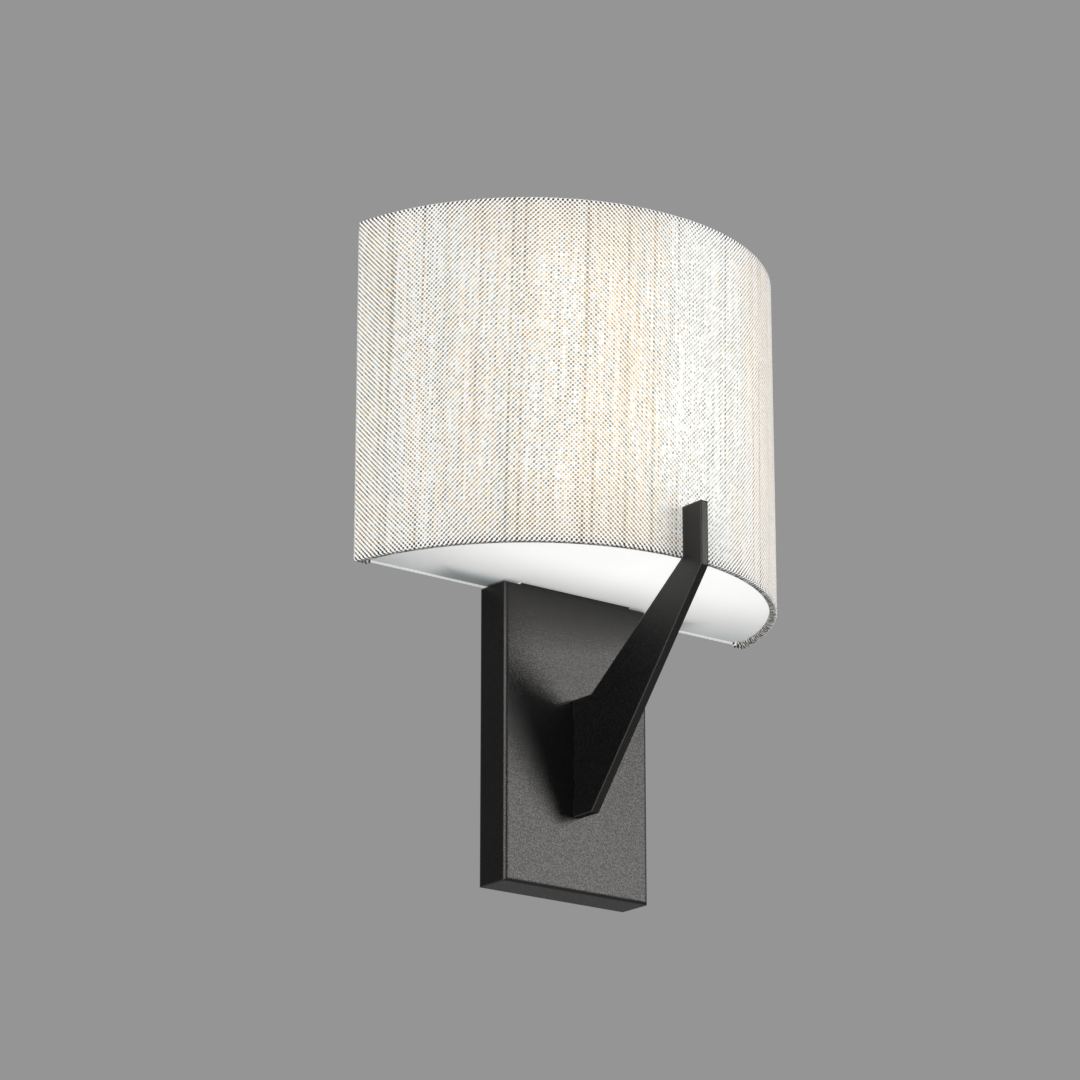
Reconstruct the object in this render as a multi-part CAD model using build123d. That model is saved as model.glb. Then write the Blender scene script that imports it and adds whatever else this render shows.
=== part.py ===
"""Fabric shade wall light: a half-round fabric shade held above a slim black housing by one bent arm.

Frame: X to the right, -Y out of the wall, +Z up, millimetres. The wall is the plane Y = 0, and the
origin is the centre of the mounting strap's two slots, in the wall plane.
"""
import math
import os

from build123d import *

# ---------------------------------------------------------------- driving dimensions
# Housing: the black pan that covers the wall box
HOUSING_W = 74.5
HOUSING_H = 127.5
HOUSING_D = 17.0
HOUSING_WALL = 1.5
HOUSING_EDGE_R = 1.5
SILL_RISE = 0.4
SILL_SET_BACK = 0.4

# Shade: an arc of a circle in plan, open at the wall
SHADE_R = 106.0
SHADE_FRONT = 89.3
SHADE_H = 149.5
SHADE_WALL_GAP = 2.5
SHADE_OVERLAP = 1.5
RETURN_W = 6.6
RETURN_CORNER_R = 2.4
FABRIC_T = 0.6
LINER_T = 0.4
HEM_ROLL_R = 0.5

# Shade frame
RING_T = 1.6
RING_H = 8.0
STILE_W = 5.4
STILE_T = 1.6
TAB_W = 14.0
TAB_REACH = 12.0
TAB_T = 1.2
TAB_SPREAD_DEG = 52.0

# Diffusers
DIFFUSER_T = 3.0
DIFFUSER_RECESS = 2.2

# Arm: flat steel blade in the plane X = 0
ARM_T = 3.8
ARM_FOOT_UP = 31.4
ARM_FOOT_H = 50.4
ARM_FOOT_D = 12.1
ARM_TIP_D = 12.1
ARM_TIP_UP = 21.2
ARM_TIP_DROP = 6.1
ARM_TIP_GAP = 0.2
ARM_EDGE_R = 0.4
ARM_TONGUE_H = 36.0
ARM_TONGUE_IN = 8.5

# Bracket that holds the arm's tongue inside the housing
BRACKET_T = 1.6
BRACKET_FLANGE = 13.0
BRACKET_SCREW_PITCH = 22.0

# Light channel, back pan and light board
CHANNEL_W = 57.0
CHANNEL_T = 1.2
CHANNEL_FRONT = 15.3
CHANNEL_FLANGE = 10.0
NECK_IN = 14.0
NECK_STUD_PITCH = 28.6
RIVET_INSET = 18.0
FLANGE_LIFT = 2.4
CHANNEL_TOP_DROP = 10.0
PAN_T = 1.2
PAN_INSET = 1.2
PAN_TOP_DROP = 3.0
PAN_SCREW_INSET = 22.5
BOARD_W = 52.0
BOARD_H = 112.0
BOARD_T = 1.6
BOARD_UP = 3.5
BOARD_SCREW_INSET = 4.0
CHIP_SIZE = 3.0
CHIP_T = 0.8
CHIP_COLUMNS = 2
CHIP_ROWS = 10
CHIP_PITCH_X = 26.0
CHIP_PITCH_Z = 10.2
CONNECTOR_W = 10.0
CONNECTOR_H = 7.0
CONNECTOR_T = 5.0
CONNECTOR_UP = 2.0
CONNECTOR_EDGE_R = 0.6

# Driver and leads
DRIVER_W = 50.0
DRIVER_H = 27.0
DRIVER_T = 9.6
DRIVER_EDGE_R = 1.2
DRIVER_EAR = 5.0
DRIVER_DOWN = 1.5
LEAD_R = 0.65
LEAD_PITCH = 2.8
LEAD_BEND_R = 4.2
BUSH_R = 5.5
BUSH_BORE_R = 3.6
BUSH_LIP = 1.0
BUSH_BOARD_GAP = 0.5

# Mounting strap
STRAP_T = 1.5
STRAP_W = 34.0
STRAP_H = 104.0
STRAP_CORNER_R = 4.0
SLOT_SPACING = 86.1
SLOT_W = 4.6
SLOT_L = 8.4
WIRE_HOLE_R = 11.0
EAR_GAP = 3.5
EAR_DEPTH = 13.0
EAR_BOTTOM = 14.0
EAR_TOP = 11.0
GROUND_SCREW_X = 10.0
GROUND_SCREW_Z = 24.0

# Hanger pins and lock screw
PIN_R = 2.0
PIN_HEAD_R = 3.2
PIN_HEAD_T = 1.2
PIN_OUT = 8.0
PIN_UP = 5.0
LOCK_R = 2.0
LOCK_DOWN = 7.5
LOCK_NUT_AF = 7.0
LOCK_NUT_T = 2.5
LOCK_SOCKET_AF = 2.0
LOCK_SOCKET_DEPTH = 2.2
LOCK_TIP_GAP = 0.1
LOCK_CHAMFER = 0.5

# Small fasteners
M3_R = 1.5
M3_HEAD_R = 2.8
M3_HEAD_T = 1.7
M3_NUT_AF = 5.5
M3_NUT_T = 2.4
M3_DRIVE_W = 0.8
M3_DRIVE_DEPTH = 0.8
M3_DRIVE_REACH = 1.9
STUD_SHOW = 1.0
RIVET_R = 1.6
RIVET_HEAD_R = 3.0
RIVET_TAIL_T = 1.0
PAN_SCREW_R = 1.25
PAN_SCREW_HEAD_R = 2.2
THIN_HEAD_T = 0.8
THREAD_CUT = 0.05

# Clearances
HOLE_CLEARANCE = 0.2
SEAT_GAP = 0.1
SLIDE_GAP = 0.3
SHEET_GAP = 0.2
THREAD_GAP = 0.05

# ---------------------------------------------------------------- places worked out from them
housing_bottom = -HOUSING_H / 2
housing_top = HOUSING_H / 2
inner_front = -(HOUSING_D - HOUSING_WALL)
inner_side = HOUSING_W / 2 - HOUSING_WALL

shade_axis_y = SHADE_R - SHADE_FRONT
shade_rear_y = -SHADE_WALL_GAP
shade_bottom = housing_top - SHADE_OVERLAP
shade_top = shade_bottom + SHADE_H
shade_half_w = math.sqrt(SHADE_R**2 - (shade_axis_y - shade_rear_y) ** 2)

liner_r = SHADE_R - FABRIC_T
ring_r = liner_r - LINER_T
ring_inner_r = ring_r - RING_T
hem_inner_r = ring_inner_r - FABRIC_T
return_inner_x = shade_half_w - RETURN_W
stile_rear_y = shade_rear_y - FABRIC_T
stile_front_y = stile_rear_y - STILE_T
stile_inner_x = return_inner_x + (RETURN_W - STILE_W) / 2
stile_outer_x = math.sqrt(ring_r**2 - (shade_axis_y - stile_front_y) ** 2)

bottom_diffuser_z = shade_bottom + DIFFUSER_RECESS
top_diffuser_z = shade_top - DIFFUSER_RECESS - DIFFUSER_T
bottom_tab_z = bottom_diffuser_z + DIFFUSER_T + SHEET_GAP
top_tab_z = top_diffuser_z - SEAT_GAP - TAB_T
tab_centre_r = ring_inner_r - TAB_REACH / 2
tab_angles = (-TAB_SPREAD_DEG, 0.0, TAB_SPREAD_DEG)

pan_front_y = shade_rear_y
pan_rear_y = pan_front_y + PAN_T
pan_half_w = shade_half_w - PAN_INSET
pan_bottom = housing_top + SLIDE_GAP
pan_top = shade_top - PAN_TOP_DROP
pan_screw_x = (stile_inner_x + stile_outer_x) / 2
pan_screw_levels = (shade_bottom + PAN_SCREW_INSET, shade_top - PAN_SCREW_INSET)

channel_back_y = pan_front_y
channel_front_y = -CHANNEL_FRONT
channel_bottom = housing_top - NECK_IN
channel_top = shade_top - CHANNEL_TOP_DROP
flange_bottom = bottom_tab_z + FLANGE_LIFT
flange_centre_x = (CHANNEL_W + CHANNEL_FLANGE) / 2
rivet_levels = (flange_bottom + RIVET_INSET, channel_top - RIVET_INSET)
neck_stud_x = NECK_STUD_PITCH / 2
neck_stud_z = housing_top - NECK_IN / 2
neck_half_w = CHANNEL_W / 2 + HOLE_CLEARANCE

board_back_y = channel_front_y
board_front_y = board_back_y - BOARD_T
board_centre_z = (shade_bottom + shade_top) / 2 + BOARD_UP
board_bottom = board_centre_z - BOARD_H / 2
board_screw_x = BOARD_W / 2 - BOARD_SCREW_INSET
board_screw_z = BOARD_H / 2 - BOARD_SCREW_INSET
connector_bottom = board_bottom + CONNECTOR_UP

arm_foot_bottom = housing_bottom + ARM_FOOT_UP
arm_foot_top = arm_foot_bottom + ARM_FOOT_H
arm_centre_z = (arm_foot_bottom + arm_foot_top) / 2
arm_tip_rear_y = -(SHADE_FRONT + ARM_TIP_GAP)
arm_front_y = arm_tip_rear_y - ARM_TIP_D
tongue_rear_y = inner_front + ARM_TONGUE_IN
bracket_screw_y = inner_front + (ARM_TONGUE_IN + BRACKET_T) / 2
bracket_stud_x = ARM_T / 2 + BRACKET_T + BRACKET_FLANGE / 2
bracket_screw_levels = (arm_centre_z - BRACKET_SCREW_PITCH / 2, arm_centre_z + BRACKET_SCREW_PITCH / 2)

driver_top = channel_bottom - DRIVER_DOWN
driver_bottom = driver_top - DRIVER_H
driver_front_y = inner_front
driver_rear_y = driver_front_y + DRIVER_T
driver_centre_z = (driver_top + driver_bottom) / 2

lead_inner_y = (driver_front_y + driver_rear_y) / 2
lead_outer_y = board_front_y - CONNECTOR_T / 2
lead_cross_z = board_bottom - BUSH_R - BUSH_BOARD_GAP

ear_outer_x = inner_side - EAR_GAP
ear_inner_x = ear_outer_x - STRAP_T


# ---------------------------------------------------------------- helpers
def block(x0, x1, y0, y1, z0, z1):
    """A box between two opposite corners."""
    size = (abs(x1 - x0), abs(y1 - y0), abs(z1 - z0))
    centre = ((x0 + x1) / 2, (y0 + y1) / 2, (z0 + z1) / 2)
    return Pos(*centre) * Box(*size)


def rod_x(radius, x0, x1, y, z):
    """A round rod along X."""
    return Pos((x0 + x1) / 2, y, z) * Rot(0, 90, 0) * Cylinder(radius, abs(x1 - x0))


def rod_y(radius, y0, y1, x, z):
    """A round rod along Y."""
    return Pos(x, (y0 + y1) / 2, z) * Rot(90, 0, 0) * Cylinder(radius, abs(y1 - y0))


def rod_z(radius, z0, z1, x, y):
    """A round rod along Z."""
    return Pos(x, y, (z0 + z1) / 2) * Cylinder(radius, abs(z1 - z0))


def hexagon(across_flats, thickness):
    """A hexagonal prism about the origin, along Z."""
    return extrude(RegularPolygon(across_flats / 2, 6, major_radius=False), thickness / 2, both=True)


def shade_band(outer_r, inner_r, z0, z1, rear_y):
    """The part of an upright tube about the shade's axis that lies in front of rear_y."""
    height = z1 - z0
    place = Pos(0, shade_axis_y, (z0 + z1) / 2)
    band = place * Cylinder(outer_r, height) - place * Cylinder(inner_r, height)
    behind = block(-2 * outer_r, 2 * outer_r, rear_y, rear_y + 2 * outer_r, z0, z1)
    return band - behind


def shade_disc(radius, z0, z1, rear_y):
    """A flat D-shaped sheet inside the shade."""
    disc = Pos(0, shade_axis_y, (z0 + z1) / 2) * Cylinder(radius, z1 - z0)
    return disc - block(-2 * radius, 2 * radius, rear_y, rear_y + 2 * radius, z0, z1)


def on_shade(angle, radius, z):
    """A place at an angle from the shade's front, with local X along the radius, outwards."""
    turn = math.radians(angle)
    x = radius * math.sin(turn)
    y = shade_axis_y - radius * math.cos(turn)
    return Pos(x, y, z) * Rot(0, 0, angle - 90)


def pan_screw_y(y_head, y_end, x, z):
    """An M3 pan-head screw along Y: the head's bearing face at y_head, the tip at y_end."""
    out = math.copysign(1, y_head - y_end)
    top = y_head + out * M3_HEAD_T
    screw = rod_y(M3_R - THREAD_CUT, y_head, y_end, x, z) + rod_y(M3_HEAD_R, y_head, top, x, z)
    floor = top - out * M3_DRIVE_DEPTH
    reach = M3_DRIVE_REACH
    half = M3_DRIVE_W / 2
    screw -= block(x - reach, x + reach, floor, top, z - half, z + half)
    return screw - block(x - half, x + half, floor, top, z - reach, z + reach)


def nut_y(y0, x, z):
    """An M3 nut round a stud along Y; y0 is its seat, and it stands towards the wall."""
    place = Pos(x, y0 + M3_NUT_T / 2, z) * Rot(90, 0, 0)
    return place * (hexagon(M3_NUT_AF, M3_NUT_T) - Cylinder(M3_R + THREAD_GAP, M3_NUT_T))


# ---------------------------------------------------------------- mounting hardware
def mounting_strap():
    plate = block(-STRAP_W / 2, STRAP_W / 2, -STRAP_T, 0, -STRAP_H / 2, STRAP_H / 2)
    plate = fillet(plate.edges().filter_by(Axis.Y), STRAP_CORNER_R)
    strap = plate + block(-ear_outer_x, ear_outer_x, -STRAP_T, 0, -EAR_BOTTOM, EAR_TOP)
    slot_half = PIN_R + HOLE_CLEARANCE
    for side in (-1, 1):
        ear = block(side * ear_inner_x, side * ear_outer_x, -EAR_DEPTH, 0, -EAR_BOTTOM, EAR_TOP)
        ear -= rod_x(slot_half, side * (ear_inner_x - 1), side * (ear_outer_x + 1), -PIN_OUT, PIN_UP)
        ear -= block(side * (ear_inner_x - 1), side * (ear_outer_x + 1),
                     -PIN_OUT - slot_half, -PIN_OUT + slot_half, PIN_UP, EAR_TOP + 1)
        strap += ear
    for side in (-1, 1):
        centre = side * SLOT_SPACING / 2
        half = (SLOT_L - SLOT_W) / 2
        for end in (-half, half):
            strap -= rod_y(SLOT_W / 2, -STRAP_T, 0, 0, centre + end)
        strap -= block(-SLOT_W / 2, SLOT_W / 2, -STRAP_T, 0, centre - half, centre + half)
    strap -= rod_y(WIRE_HOLE_R, -STRAP_T, 0, 0, 0)
    strap -= rod_y(M3_R + THREAD_GAP, -STRAP_T, 0, GROUND_SCREW_X, GROUND_SCREW_Z)
    return strap


def ground_screw():
    return pan_screw_y(-STRAP_T, 0, GROUND_SCREW_X, GROUND_SCREW_Z)


# ---------------------------------------------------------------- housing and what hangs it
def housing():
    shell = block(-HOUSING_W / 2, HOUSING_W / 2, -HOUSING_D, 0, housing_bottom, housing_top)
    front_edges = shell.edges().group_by(Axis.Y)[0]
    shell = fillet(front_edges, HOUSING_EDGE_R)
    shell -= block(-inner_side, inner_side, inner_front, 0,
                   housing_bottom + HOUSING_WALL, housing_top - HOUSING_WALL)
    shell -= block(-neck_half_w, neck_half_w, inner_front, 0, 0, housing_top)
    shell += block(-CHANNEL_W / 2, CHANNEL_W / 2, SILL_SET_BACK - HOUSING_D, inner_front,
                   housing_top - HOUSING_EDGE_R, housing_top + SILL_RISE)
    slot_half_w = ARM_T / 2 + HOLE_CLEARANCE
    slot_half_h = ARM_TONGUE_H / 2 + HOLE_CLEARANCE
    shell -= block(-slot_half_w, slot_half_w, -HOUSING_D, inner_front,
                   arm_centre_z - slot_half_h, arm_centre_z + slot_half_h)
    shell -= rod_x(LOCK_R + HOLE_CLEARANCE, inner_side, HOUSING_W / 2, -PIN_OUT, -LOCK_DOWN)
    neck_reach = channel_front_y + CHANNEL_T + M3_NUT_T + STUD_SHOW
    for side in (-1, 1):
        shell += rod_y(M3_R, inner_front, neck_reach, side * neck_stud_x, neck_stud_z)
    bracket_reach = inner_front + BRACKET_T + M3_NUT_T + STUD_SHOW
    for level in bracket_screw_levels:
        shell += rod_y(M3_R, inner_front, bracket_reach, bracket_stud_x, level)
    return shell


def hanger_pins():
    pins = []
    for side in (-1, 1):
        head = ear_inner_x - SLIDE_GAP
        pin = rod_x(PIN_R, side * inner_side, side * (head - PIN_HEAD_T), -PIN_OUT, PIN_UP)
        pin += rod_x(PIN_HEAD_R, side * head, side * (head - PIN_HEAD_T), -PIN_OUT, PIN_UP)
        shoulder = ear_outer_x + SLIDE_GAP
        pin += rod_x(PIN_HEAD_R, side * inner_side, side * shoulder, -PIN_OUT, PIN_UP)
        pins.append(pin)
    return Compound(children=pins)


def lock_nut():
    centre_x = inner_side - LOCK_NUT_T / 2
    nut = hexagon(LOCK_NUT_AF, LOCK_NUT_T) - Cylinder(LOCK_R + THREAD_GAP, LOCK_NUT_T)
    return Pos(centre_x, -PIN_OUT, -LOCK_DOWN) * Rot(0, 90, 0) * nut


def lock_screw():
    tip = ear_outer_x + LOCK_TIP_GAP
    end = HOUSING_W / 2
    screw = rod_x(LOCK_R, tip, end, -PIN_OUT, -LOCK_DOWN)
    screw = chamfer(screw.edges().group_by(Axis.X)[0], LOCK_CHAMFER)
    socket = Pos(end - LOCK_SOCKET_DEPTH / 2, -PIN_OUT, -LOCK_DOWN) * Rot(0, 90, 0)
    return screw - socket * hexagon(LOCK_SOCKET_AF, LOCK_SOCKET_DEPTH)


# ---------------------------------------------------------------- arm
def arm():
    foot_front = -(HOUSING_D + ARM_FOOT_D)
    outline = [
        (-HOUSING_D, arm_foot_bottom),
        (foot_front, arm_foot_bottom),
        (arm_front_y, shade_bottom - ARM_TIP_DROP),
        (arm_front_y, shade_bottom + ARM_TIP_UP),
        (arm_tip_rear_y, shade_bottom + ARM_TIP_UP),
        (arm_tip_rear_y, shade_bottom),
        (foot_front, arm_foot_top),
        (-HOUSING_D, arm_foot_top),
    ]
    face = make_face(Plane.YZ * Polyline(*outline, close=True))
    blade = extrude(face, ARM_T / 2, both=True)
    blade = fillet(blade.edges().filter_by(lambda e: abs(e.center().Y + HOUSING_D) > 0.01), ARM_EDGE_R)
    half = ARM_TONGUE_H / 2
    blade += block(-ARM_T / 2, ARM_T / 2, -HOUSING_D, tongue_rear_y, arm_centre_z - half, arm_centre_z + half)
    for level in bracket_screw_levels:
        blade -= rod_x(M3_R + HOLE_CLEARANCE, -ARM_T / 2, ARM_T / 2, bracket_screw_y, level)
    return blade


def arm_bracket():
    half = ARM_TONGUE_H / 2
    side = ARM_T / 2
    far = side + BRACKET_T + BRACKET_FLANGE
    low = arm_centre_z - half
    high = arm_centre_z + half
    bracket = block(side, side + BRACKET_T, inner_front, tongue_rear_y, low, high)
    bracket += block(side, far, inner_front, inner_front + BRACKET_T, low, high)
    for level in bracket_screw_levels:
        bracket -= rod_x(M3_R + THREAD_GAP, side, side + BRACKET_T, bracket_screw_y, level)
        bracket -= rod_y(M3_R + HOLE_CLEARANCE, inner_front, inner_front + BRACKET_T, bracket_stud_x, level)
    return bracket


def arm_screws():
    screws = []
    head = -ARM_T / 2
    for level in bracket_screw_levels:
        screw = rod_x(M3_R - THREAD_CUT, head, ARM_T / 2 + BRACKET_T + STUD_SHOW, bracket_screw_y, level)
        screw += rod_x(M3_HEAD_R, head - M3_HEAD_T, head, bracket_screw_y, level)
        screws.append(screw)
    return Compound(children=screws)


def arm_nuts():
    seat = inner_front + BRACKET_T
    return Compound(children=[nut_y(seat, bracket_stud_x, level) for level in bracket_screw_levels])


# ---------------------------------------------------------------- light channel, pan and board
def light_channel():
    half = CHANNEL_W / 2
    front = block(-half, half, channel_front_y, channel_front_y + CHANNEL_T, channel_bottom, channel_top)
    channel = front
    for side in (-1, 1):
        channel += block(side * (half - CHANNEL_T), side * half, channel_front_y, channel_back_y,
                         channel_bottom, channel_top)
        channel += block(side * (half - CHANNEL_T), side * (half + CHANNEL_FLANGE),
                         channel_back_y - CHANNEL_T, channel_back_y, flange_bottom, channel_top)
        channel -= rod_y(M3_R + HOLE_CLEARANCE, channel_front_y, channel_front_y + CHANNEL_T,
                         side * neck_stud_x, neck_stud_z)
        for level in rivet_levels:
            channel -= rod_y(RIVET_R + THREAD_GAP, channel_back_y - CHANNEL_T, channel_back_y,
                             side * flange_centre_x, level)
        for level in (-board_screw_z, board_screw_z):
            channel -= rod_y(M3_R + THREAD_GAP, channel_front_y, channel_front_y + CHANNEL_T,
                             side * board_screw_x, board_centre_z + level)
    return channel - rod_y(BUSH_R - BUSH_LIP, channel_front_y, channel_front_y + CHANNEL_T, 0, lead_cross_z)


def neck_nuts():
    seat = channel_front_y + CHANNEL_T
    return Compound(children=[nut_y(seat, side * neck_stud_x, neck_stud_z) for side in (-1, 1)])


def back_pan():
    pan = block(-pan_half_w, pan_half_w, pan_front_y, pan_rear_y, pan_bottom, pan_top)
    for side in (-1, 1):
        for level in pan_screw_levels:
            pan -= rod_y(PAN_SCREW_R + HOLE_CLEARANCE, pan_front_y, pan_rear_y, side * pan_screw_x, level)
        for level in rivet_levels:
            pan -= rod_y(RIVET_R + THREAD_GAP, pan_front_y, pan_rear_y, side * flange_centre_x, level)
    return pan


def thin_head_y(radius, head_r, y_end, x, z):
    """A thin-headed screw or rivet put in from behind the back pan."""
    shank = rod_y(radius, pan_rear_y, y_end, x, z)
    return shank + rod_y(head_r, pan_rear_y, pan_rear_y + THIN_HEAD_T, x, z)


def pan_screws():
    screws = []
    for side in (-1, 1):
        for level in pan_screw_levels:
            screws.append(thin_head_y(PAN_SCREW_R - THREAD_CUT, PAN_SCREW_HEAD_R, stile_front_y,
                                      side * pan_screw_x, level))
    return Compound(children=screws)


def channel_rivets():
    rivets = []
    tail = channel_back_y - CHANNEL_T
    for side in (-1, 1):
        for level in rivet_levels:
            x = side * flange_centre_x
            rivet = thin_head_y(RIVET_R, RIVET_HEAD_R, tail, x, level)
            rivet += rod_y(RIVET_HEAD_R, tail, tail - RIVET_TAIL_T, x, level)
            rivets.append(rivet)
    return Compound(children=rivets)


def led_board():
    board = block(-BOARD_W / 2, BOARD_W / 2, board_front_y, board_back_y, board_bottom, board_bottom + BOARD_H)
    for side in (-1, 1):
        for level in (-board_screw_z, board_screw_z):
            board -= rod_y(M3_R + HOLE_CLEARANCE, board_front_y, board_back_y,
                           side * board_screw_x, board_centre_z + level)
    return board


def led_chips():
    chips = []
    half = CHIP_SIZE / 2
    for column in range(CHIP_COLUMNS):
        x = (column - (CHIP_COLUMNS - 1) / 2) * CHIP_PITCH_X
        for row in range(CHIP_ROWS):
            z = board_centre_z + (row - (CHIP_ROWS - 1) / 2) * CHIP_PITCH_Z
            chips.append(block(x - half, x + half, board_front_y - CHIP_T, board_front_y, z - half, z + half))
    return Compound(children=chips)


def board_screws():
    screws = []
    for side in (-1, 1):
        for level in (-board_screw_z, board_screw_z):
            screws.append(pan_screw_y(board_front_y, channel_front_y + CHANNEL_T,
                                      side * board_screw_x, board_centre_z + level))
    return Compound(children=screws)


def board_connector():
    half = CONNECTOR_W / 2
    body = block(-half, half, board_front_y - CONNECTOR_T, board_front_y,
                 connector_bottom, connector_bottom + CONNECTOR_H)
    return fillet(body.edges().filter_by(Axis.Z).group_by(Axis.Y)[0], CONNECTOR_EDGE_R)


# ---------------------------------------------------------------- driver and leads
def driver_case():
    half = DRIVER_W / 2
    case = block(-half, half, driver_front_y, driver_rear_y, driver_bottom, driver_top)
    case = fillet(case.edges().filter_by(Axis.Y), DRIVER_EDGE_R)
    for side in (-1, 1):
        case += block(side * (half - 1), side * (half + DRIVER_EAR), driver_front_y, driver_front_y + BRACKET_T,
                      driver_centre_z - DRIVER_EAR, driver_centre_z + DRIVER_EAR)
        case -= rod_y(RIVET_R + THREAD_GAP, driver_front_y, driver_front_y + BRACKET_T,
                      side * (half + DRIVER_EAR / 2), driver_centre_z)
    return case


def driver_rivets():
    seat = driver_front_y + BRACKET_T
    x = (DRIVER_W + DRIVER_EAR) / 2
    rivets = []
    for side in (-1, 1):
        rivet = rod_y(RIVET_R, driver_front_y, seat, side * x, driver_centre_z)
        rivet += rod_y(PAN_SCREW_HEAD_R, seat, seat + RIVET_TAIL_T, side * x, driver_centre_z)
        rivets.append(rivet)
    return Compound(children=rivets)


def led_leads():
    leads = []
    for side in (-1, 1):
        x = side * LEAD_PITCH / 2
        route = FilletPolyline(
            (x, lead_inner_y, driver_top),
            (x, lead_inner_y, lead_cross_z),
            (x, lead_outer_y, lead_cross_z),
            (x, lead_outer_y, connector_bottom),
            radius=LEAD_BEND_R,
        )
        section = Plane(origin=route @ 0, z_dir=route % 0) * Circle(LEAD_R)
        lead = sweep(section, path=route)
        ratio = lead.volume / (math.pi * LEAD_R**2 * route.length)
        print(f"lead at X {x:+.1f}: length {route.length:.1f}, radii {LEAD_BEND_R}, volume ratio {ratio:.4f}")
        leads.append(lead)
    return Compound(children=leads)


def lead_bush():
    y0 = channel_front_y - BUSH_LIP
    y1 = channel_front_y + CHANNEL_T + BUSH_LIP
    bush = rod_y(BUSH_R, y0, channel_front_y, 0, lead_cross_z)
    bush += rod_y(BUSH_R - BUSH_LIP, y0, y1, 0, lead_cross_z)
    bush += rod_y(BUSH_R, y1 - BUSH_LIP, y1, 0, lead_cross_z)
    return bush - rod_y(BUSH_BORE_R, y0, y1, 0, lead_cross_z)


# ---------------------------------------------------------------- shade
def shade_fabric():
    rear = shade_rear_y
    skin = shade_band(SHADE_R, liner_r, shade_bottom, shade_top, rear)
    lip = DIFFUSER_RECESS - SHEET_GAP
    for z0, inner in ((shade_bottom, 1), (shade_top, -1)):
        under = sorted((z0, z0 + inner * FABRIC_T))
        turned = sorted((z0, z0 + inner * lip))
        skin += shade_band(SHADE_R, hem_inner_r, under[0], under[1], rear)
        skin += shade_band(ring_inner_r, hem_inner_r, turned[0], turned[1], stile_front_y)
    for side in (-1, 1):
        outer = math.sqrt(SHADE_R**2 - (shade_axis_y - rear + FABRIC_T) ** 2)
        flap = block(side * return_inner_x, side * outer, rear, rear - FABRIC_T, shade_bottom, shade_top)
        inner_edges = flap.edges().filter_by(Axis.Y).sort_by(lambda e: abs(e.center().X))[:2]
        skin += fillet(inner_edges, RETURN_CORNER_R)
        for level in pan_screw_levels:
            skin -= rod_y(PAN_SCREW_R + HOLE_CLEARANCE, rear, rear - FABRIC_T, side * pan_screw_x, level)
    rim = skin.edges().filter_by(GeomType.CIRCLE)
    rim = [e for e in rim if abs(e.radius - SHADE_R) < 0.01 and abs(e.center().Z) > 0]
    return fillet(rim, HEM_ROLL_R)


def shade_liner():
    return shade_band(liner_r, ring_r, shade_bottom + FABRIC_T, shade_top - FABRIC_T, stile_rear_y)


def shade_ring(z0, z1, tab_z):
    ring = shade_band(ring_r, ring_inner_r, z0, z1, stile_front_y)
    for angle in tab_angles:
        reach = TAB_REACH + RING_T / 2
        ring += on_shade(angle, tab_centre_r + RING_T / 4, tab_z + TAB_T / 2) * Box(reach, TAB_W, TAB_T)
    return ring


def bottom_ring():
    ring = shade_ring(shade_bottom + FABRIC_T, shade_bottom + FABRIC_T + RING_H, bottom_tab_z)
    for angle in tab_angles:
        ring -= on_shade(angle, tab_centre_r, bottom_tab_z + TAB_T / 2) * Cylinder(M3_R + HOLE_CLEARANCE, TAB_T)
    return ring


def top_ring():
    return shade_ring(shade_top - FABRIC_T - RING_H, shade_top - FABRIC_T, top_tab_z)


def stile(side):
    bar = block(side * stile_inner_x, side * stile_outer_x, stile_front_y, stile_rear_y,
                shade_bottom + FABRIC_T, shade_top - FABRIC_T)
    for level in pan_screw_levels:
        bar -= rod_y(PAN_SCREW_R + THREAD_GAP, stile_front_y, stile_rear_y, side * pan_screw_x, level)
    return bar


def diffuser_sheet(radius, z0):
    rear = pan_front_y - SLIDE_GAP
    sheet = shade_disc(radius, z0, z0 + DIFFUSER_T, rear)
    for side in (-1, 1):
        sheet -= block(side * (return_inner_x - SLIDE_GAP), side * SHADE_R, stile_front_y - SLIDE_GAP, 0,
                       z0, z0 + DIFFUSER_T)
    return sheet


def bottom_diffuser():
    sheet = diffuser_sheet(ring_inner_r - SHEET_GAP, bottom_diffuser_z)
    notch = CHANNEL_W / 2 + SLIDE_GAP
    return sheet - block(-notch, notch, channel_front_y - SLIDE_GAP, 0,
                         bottom_diffuser_z, bottom_diffuser_z + DIFFUSER_T)


def top_diffuser():
    return diffuser_sheet(hem_inner_r - SLIDE_GAP, top_diffuser_z)


def diffuser_studs():
    top = bottom_diffuser_z + DIFFUSER_T
    length = SHEET_GAP + TAB_T + M3_NUT_T + STUD_SHOW
    studs = [on_shade(angle, tab_centre_r, top + length / 2) * Cylinder(M3_R, length) for angle in tab_angles]
    return Compound(children=studs)


def diffuser_nuts():
    seat = bottom_tab_z + TAB_T
    nut = hexagon(M3_NUT_AF, M3_NUT_T) - Cylinder(M3_R + THREAD_GAP, M3_NUT_T)
    return Compound(children=[on_shade(a, tab_centre_r, seat + M3_NUT_T / 2) * nut for a in tab_angles])


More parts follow.
